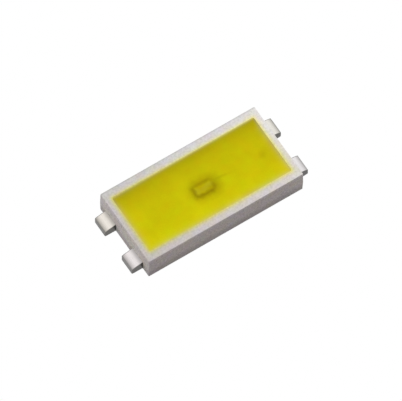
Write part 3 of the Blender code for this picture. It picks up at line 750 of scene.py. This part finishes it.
# %% Pale edge and lit lip
EDGE_FADE, BACK_FADE, BACK_LEFT_FADE = 0.056, 0.03, 0.045
LEFT_STRETCH = (-2.4, -0.8)
BACK_STRETCH = (-0.4, -0.2)
EDGE_PALING = (-0.055, -0.045, 0.145)
LIP_FADE = 0.018
LIP_LIGHT = (0.32, 0.32, 0.05)

inside = from_rectangle(tree, place, WINDOW_HALF_X, WINDOW_HALF_Y, WINDOW_CORNER)
from_back = add(tree, "ShaderNodeMath", {0: where["Y"], 1: -WINDOW_HALF_Y}, operation="ADD")
back_fade = add(tree, "ShaderNodeMapRange",
                {0: where["X"], 1: LEFT_STRETCH[0], 2: LEFT_STRETCH[1],
                 3: 1 / BACK_LEFT_FADE, 4: 1 / BACK_FADE})
fade = add(tree, "ShaderNodeMapRange",
           {0: from_back, 1: BACK_STRETCH[0], 2: BACK_STRETCH[1], 3: 1 / EDGE_FADE, 4: back_fade})
thinning = add(tree, "ShaderNodeMath", {0: inside, 1: fade}, operation="MULTIPLY")
edge = add(tree, "ShaderNodeMath", {0: thinning}, operation="EXPONENT", use_clamp=True)
paling = add(tree, "ShaderNodeVectorMath", {0: EDGE_PALING, "Scale": edge}, operation="SCALE")
pale_edged = add(tree, "ShaderNodeVectorMath", {0: evened_yellow, 1: paling}, operation="ADD")
lipping = add(tree, "ShaderNodeMath", {0: from_back, 1: 1 / LIP_FADE}, operation="MULTIPLY")
lip = add(tree, "ShaderNodeMath", {0: lipping}, operation="EXPONENT", use_clamp=True)
lit = add(tree, "ShaderNodeVectorMath", {0: LIP_LIGHT, "Scale": lip}, operation="SCALE")
body = add(tree, "ShaderNodeVectorMath", {0: pale_edged, 1: lit}, operation="ADD")
print("with the thin edge:", len(tree.nodes), "nodes")

# %% [markdown]
# ## Clouds and powder
# Stirring leaves the powder in faint clouds of more and less, and in patches of warmer and
# greener yellow, half a millimetre across. The grains are about 15 micrometres. They are
# drawn at 36, because finer ones wouldn't show.

# %% Clouds, patches and grains
CLOUD_SIZE, CLOUD_PHASE = 0.625, 1.0
CLOUD_DARK, CLOUD_LIGHT = 0.955, 1.065
PATCH_SIZE, PATCH_PHASE = 1 / 2.4, 3.7
WARM = (1.06, 0.90, 1.0, 1.0)
GREENISH = (0.94, 1.10, 1.0, 1.0)
POWDER_SIZE = 1 / 28
POWDER_DARK, POWDER_LIGHT = 0.96, 1.04
POWDER_HEIGHT = 0.002 * MM

clouds = add(tree, "ShaderNodeTexNoise",
             {"Vector": place, "Scale": 1 / CLOUD_SIZE, "Detail": 3.0, "W": CLOUD_PHASE},
             noise_dimensions="4D")
cloud = add(tree, "ShaderNodeMapRange",
            {0: clouds, 1: NOISE_LOW, 2: NOISE_HIGH, 3: CLOUD_DARK, 4: CLOUD_LIGHT})
patches = add(tree, "ShaderNodeTexNoise",
              {"Vector": place, "Scale": 1 / PATCH_SIZE, "Detail": 2.0, "W": PATCH_PHASE},
              noise_dimensions="4D")
warmth = add(tree, "ShaderNodeMix", {0: patches, 6: WARM, 7: GREENISH}, data_type="RGBA").outputs[2]
powder = add(tree, "ShaderNodeTexNoise", {"Vector": place, "Scale": 1 / POWDER_SIZE, "Detail": 2.0})
grains = add(tree, "ShaderNodeMapRange",
             {0: powder, 1: SPECK_LOW, 2: SPECK_HIGH, 3: POWDER_DARK, 4: POWDER_LIGHT})
grainy = add(tree, "ShaderNodeMath", {0: cloud, 1: grains}, operation="MULTIPLY")
print("with clouds and powder:", len(tree.nodes), "nodes")

# %% [markdown]
# ## The chip's mark
# The chip takes light that the powder round it would throw back. Its mark has a wide haze,
# a darker ring over its walls with a ragged edge, and a lighter top inside the ring. The
# top is one rectangle that opens the other two. Below the ball of the wire lies a dark
# corner, and the chip's bright contacts pale the top in three soft spots.

# %% The chip below the surface
CHIP_MARKS = (
    # middle, half size, corner, turn in degrees, where the fade begins and ends, strength
    ((0.03, -0.145, 0.0), (0.34, 0.18), 0.18, 0.0, -0.18, 0.47, 0.46),
    ((-0.095, -0.160, 0.0), (0.34, 0.24), 0.04, -2.0, -0.15, 0.12, 0.29),
    ((-0.005, -0.135, 0.0), (0.305, 0.163), 0.06, -3.0, -0.075, 0.085, 0.70),
)
FRAY_SIZE = 1 / 7
FRAYING = 0.02
CHIP_BOND = (0.27, -0.245, 0.0)
BOND_REACH = 0.22
BOND_DEPTH = 0.17

fraying = add(tree, "ShaderNodeTexNoise", {"Vector": place, "Scale": 1 / FRAY_SIZE, "Detail": 2.0})
frayed = add(tree, "ShaderNodeMapRange",
             {0: fraying, 1: NOISE_LOW, 2: NOISE_HIGH, 3: -FRAYING, 4: FRAYING})
chip_marks = []
for middle, half_size, rounding, turn, start, end, depth_there in CHIP_MARKS:
    at_chip = add(tree, "ShaderNodeMapping",
                  {"Vector": place, "Location": middle, "Rotation": (0.0, 0.0, math.radians(turn))},
                  vector_type="TEXTURE")
    away = from_rectangle(tree, at_chip, *half_size, rounding)
    ragged = add(tree, "ShaderNodeMath", {0: away, 1: frayed}, operation="ADD")
    chip_marks.append(add(tree, "ShaderNodeMapRange",
                          {0: ragged, 1: start, 2: end, 3: depth_there, 4: 0.0},
                          interpolation_type="SMOOTHSTEP"))
haze, ring, chip_top = chip_marks
hazy = add(tree, "ShaderNodeMath", {0: haze, 1: ring}, operation="ADD")
open_part = add(tree, "ShaderNodeMath", {0: 1.0, 1: chip_top}, operation="SUBTRACT")
seen_dark = add(tree, "ShaderNodeMath", {0: hazy, 1: open_part}, operation="MULTIPLY")
off_bond = from_spot(tree, place, CHIP_BOND)
bond = add(tree, "ShaderNodeMapRange", {0: off_bond, 1: 0.0, 2: BOND_REACH, 3: BOND_DEPTH, 4: 0.0},
           interpolation_type="SMOOTHSTEP")
dark = add(tree, "ShaderNodeMath", {0: seen_dark, 1: bond}, operation="ADD")
print("chip marks:", len(chip_marks))

# %% The contacts' pale spots
CHIP_PADS = (((-0.25, -0.15, 0.0), (0.15, 0.20, 1.0)),      # middle, half size
             ((0.19, -0.10, 0.0), (0.22, 0.14, 1.0)),
             ((-0.02, -0.16, 0.0), (0.20, 0.14, 1.0)))
PAD_CORE = 0.2
PAD_PALING = (0.004, 0.002, 0.007)

pads = 0.0
for middle, half_size in CHIP_PADS:
    off_pad = from_spot(tree, place, middle, half_size)
    pad = add(tree, "ShaderNodeMapRange", {0: off_pad, 1: PAD_CORE, 2: 1.0, 3: 1.0, 4: 0.0},
              interpolation_type="SMOOTHSTEP")
    pads = add(tree, "ShaderNodeMath", {0: pads, 1: pad}, operation="ADD")
pad_light = add(tree, "ShaderNodeVectorMath", {0: PAD_PALING, "Scale": pads}, operation="SCALE")
print("pale spots:", len(CHIP_PADS))

# %% [markdown]
# ## The marks of the wire and the diode
# The wire to the right end shows as a faint line that fades as the wire dives. A curve
# gives its place across the window for each place along it, another curve its strength,
# and a bell shape its width. The protection diode is a small soft spot.

# %% The wire below the surface
WIRE_FROM, WIRE_TO = 0.40, 1.40
WIRE_LOW, WIRE_HIGH = -0.35, 0.05
WIRE_LINE = ((0.40, -0.065), (0.60, -0.07), (0.85, -0.09), (1.05, -0.115), (1.40, -0.14))
WIRE_STRENGTH = ((0.40, 0.0), (0.50, 0.4), (0.80, 1.0), (0.95, 0.6), (1.10, 0.3), (1.40, 0.0))
WIRE_WIDTH = 0.048
WIRE_DEPTH = 0.12

along_wire = add(tree, "ShaderNodeMapRange", {0: where["X"], 1: WIRE_FROM, 2: WIRE_TO})
curves = []
for points, low, high in ((WIRE_LINE, WIRE_LOW, WIRE_HIGH), (WIRE_STRENGTH, 0.0, 1.0)):
    curve = add(tree, "ShaderNodeFloatCurve", {"Value": along_wire})
    knots = [((x - WIRE_FROM) / (WIRE_TO - WIRE_FROM), (y - low) / (high - low))
             for x, y in points]
    bends = curve.mapping.curves[0].points
    bends[0].location = (0.0, knots[0][1])
    bends[1].location = (1.0, knots[-1][1])
    for knot in knots[1:-1]:
        bends.new(*knot)
    curve.mapping.update()
    curves.append(curve)
centre = add(tree, "ShaderNodeMapRange", {0: curves[0], 3: WIRE_LOW, 4: WIRE_HIGH})
off_wire = add(tree, "ShaderNodeMath", {0: where["Y"], 1: centre}, operation="SUBTRACT")
square_off = add(tree, "ShaderNodeMath", {0: off_wire, 1: off_wire}, operation="MULTIPLY")
spread = add(tree, "ShaderNodeMath", {0: square_off, 1: -1 / WIRE_WIDTH ** 2}, operation="MULTIPLY")
bell = add(tree, "ShaderNodeMath", {0: spread}, operation="EXPONENT")
seen = add(tree, "ShaderNodeMath", {0: bell, 1: curves[1]}, operation="MULTIPLY")
wire = add(tree, "ShaderNodeMath", {0: seen, 1: WIRE_DEPTH}, operation="MULTIPLY")
print(f"wire mark {WIRE_TO - WIRE_FROM:.1f} mm long")

# %% The diode below the surface
DIODE_MARK = (2.31, -0.125, 0.0)
DIODE_REACH = 0.24
DIODE_DEPTH = 0.12

off_diode = from_spot(tree, place, DIODE_MARK)
diode = add(tree, "ShaderNodeMapRange",
            {0: off_diode, 1: 0.0, 2: DIODE_REACH, 3: DIODE_DEPTH, 4: 0.0},
            interpolation_type="SMOOTHSTEP")
print("with the diode:", len(tree.nodes), "nodes")

# %% [markdown]
# ## All layers of the resin together
# All marks are a little brown: they take more of the green than of the red. They darken
# the body, the pads lighten it, and clouds, grains and patches lie over everything. The
# cured surface is dull, because its grains break the gloss up.

# %% Marks, powder and gloss
MARK_COLOUR = (0.90, 1.04, 0.8)

marks = add(tree, "ShaderNodeMath", {0: wire, 1: diode}, operation="ADD")
all_marks = add(tree, "ShaderNodeMath", {0: marks, 1: dark}, operation="ADD")
taken = add(tree, "ShaderNodeVectorMath", {0: MARK_COLOUR, "Scale": all_marks}, operation="SCALE")
left_over = add(tree, "ShaderNodeVectorMath", {0: (1.0, 1.0, 1.0), 1: taken}, operation="SUBTRACT")
marked = add(tree, "ShaderNodeVectorMath", {0: body, 1: left_over}, operation="MULTIPLY")
with_pads = add(tree, "ShaderNodeVectorMath", {0: marked, 1: pad_light}, operation="ADD")
grained = add(tree, "ShaderNodeVectorMath", {0: with_pads, "Scale": grainy}, operation="SCALE")
phosphor = add(tree, "ShaderNodeVectorMath", {0: grained, 1: warmth}, operation="MULTIPLY")
bump = add(tree, "ShaderNodeBump", {"Height": powder, "Distance": POWDER_HEIGHT, "Strength": 0.3})
shader = add(tree, "ShaderNodeBsdfPrincipled",
             {"Base Color": phosphor, "Normal": bump, "Roughness": 0.45,
              "Specular IOR Level": 0.01})
add(tree, "ShaderNodeOutputMaterial", {"Surface": shader})
print(f"{resin.name}: {len(tree.nodes)} nodes")

# %% [markdown]
# ## Pouring the resin
# The tree runs on an empty object, with its sizes set by the sockets' identifiers. The
# result becomes a plain mesh, which carries no modifier to the export. It is shaded
# smooth, except over edges as sharp as the one between its top and its walls.

# %% Pour the resin
SHARP_ANGLE = math.radians(40)

blank = bpy.data.objects.new("resin_form", bpy.data.meshes.new("resin_form"))
scene.collection.objects.link(blank)
pour = blank.modifiers.new("poured resin", "NODES")
pour.node_group = form
sockets = {item.name: item.identifier for item in form.interface.items_tree
           if item.in_out == "INPUT"}
for name, value in (("Mouth Half Length", MOUTH_HALF[0]), ("Mouth Half Width", MOUTH_HALF[1]),
                    ("Floor Level", FLOOR_LEVEL), ("Edge Level", EDGE_LEVEL),
                    ("Wall Lean", WALL_LEAN), ("Sag", SAG), ("Creep", CREEP),
                    ("Material", resin)):
    pour[sockets[name]] = value
graph = bpy.context.evaluated_depsgraph_get()
poured = bpy.data.meshes.new_from_object(blank.evaluated_get(graph))
poured.shade_smooth()
poured.set_sharp_from_angle(angle=SHARP_ANGLE)
bpy.data.objects.remove(blank)
window = bpy.data.objects.new("phosphor_window", poured)
scene.collection.objects.link(window)
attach(window, "root")
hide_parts("encapsulant")
print("resin:", len(poured.polygons), "faces")

# %% [markdown]
# ## What the resin buries
# Nobody sees the chip, its wires and its adhesive while the resin is opaque, but they are
# real pieces of the part, and a reader may hide the resin to look at them. Each gets the
# finish of the real thing: drawn gold wire, sawn sapphire, sawn silicon, and the silicone
# that glues the dies down.

# %% Drawn gold
# The die that draws the wire leaves spots of 25 micrometres that are duller than the rest
WEAR_SIZE = 0.025
SMOOTH_GOLD, ROUGH_GOLD = 0.18, 0.32

gold, tree = new_material("drawn_gold")
place = in_millimetres(tree)
wear = add(tree, "ShaderNodeTexNoise", {"Vector": place, "Scale": 1 / WEAR_SIZE, "Detail": 3.0})
tone = add(tree, "ShaderNodeMix", {0: wear, 6: linear("D9A94A"), 7: linear("F2CC7A")},
           data_type="RGBA").outputs[2]
rough = add(tree, "ShaderNodeMapRange",
            {0: wear, 1: NOISE_LOW, 2: NOISE_HIGH, 3: SMOOTH_GOLD, 4: ROUGH_GOLD})
shader = add(tree, "ShaderNodeBsdfPrincipled",
             {"Base Color": tone, "Roughness": rough, "Metallic": 1.0})
add(tree, "ShaderNodeOutputMaterial", {"Surface": shader})
for name in ("n_contact", "p_contact", "cathode_bond_wire", "anode_bond_wire", "diode_bond_wire"):
    clothe(nodes[name], gold)
print(f"{gold.name}: 5 pieces")

# %% Sawn sapphire and sawn silicon
# The saw runs level round each die, so its marks are thin level streaks on the sides
STREAK_LENGTH = 0.25
STREAK_HEIGHT = 1 / 120
STREAK_DEPTH = 0.001 * MM
DIES = (
    # piece, material, dark and light tone, roughness
    ("led_chip", "sawn_sapphire", "7F8C72", "A9B59A", 0.12),
    ("protection_diode", "sawn_silicon", "4A4B50", "6C6E74", 0.25),
)

for name, kind, dark_tone, light_tone, roughness in DIES:
    die, tree = new_material(kind)
    place = in_millimetres(tree)
    stretched = (1 / STREAK_LENGTH, 1 / STREAK_LENGTH, 1 / STREAK_HEIGHT)
    streaks = add(tree, "ShaderNodeMapping", {"Vector": place, "Scale": stretched})
    sawn = add(tree, "ShaderNodeTexNoise", {"Vector": streaks, "Scale": 1.0, "Detail": 3.0})
    tone = add(tree, "ShaderNodeMix", {0: sawn, 6: linear(dark_tone), 7: linear(light_tone)},
               data_type="RGBA").outputs[2]
    bump = add(tree, "ShaderNodeBump", {"Height": sawn, "Distance": STREAK_DEPTH, "Strength": 0.5})
    shader = add(tree, "ShaderNodeBsdfPrincipled",
                 {"Base Color": tone, "Normal": bump, "Roughness": roughness})
    add(tree, "ShaderNodeOutputMaterial", {"Surface": shader})
    clothe(nodes[name], die)
    print(f"{die.name}: {name}")

# %% Die attach silicone
# A white filler makes the glue lumpy, with lumps of about 17 micrometres
LUMP_SIZE = 1 / 60
LUMP_HEIGHT = 0.002 * MM

glue, tree = new_material("die_attach_silicone")
place = in_millimetres(tree)
lumps = add(tree, "ShaderNodeTexVoronoi", {"Vector": place, "Scale": 1 / LUMP_SIZE})
tone = add(tree, "ShaderNodeMix", {0: lumps, 6: linear("DAD8CF"), 7: linear("F0EEE6")},
           data_type="RGBA").outputs[2]
bump = add(tree, "ShaderNodeBump", {"Height": lumps, "Distance": LUMP_HEIGHT, "Strength": 0.4})
shader = add(tree, "ShaderNodeBsdfPrincipled",
             {"Base Color": tone, "Normal": bump, "Roughness": 0.4})
add(tree, "ShaderNodeOutputMaterial", {"Surface": shader})
for name in ("die_attach", "diode_attach"):
    clothe(nodes[name], glue)
print(f"{glue.name}: 2 pieces")
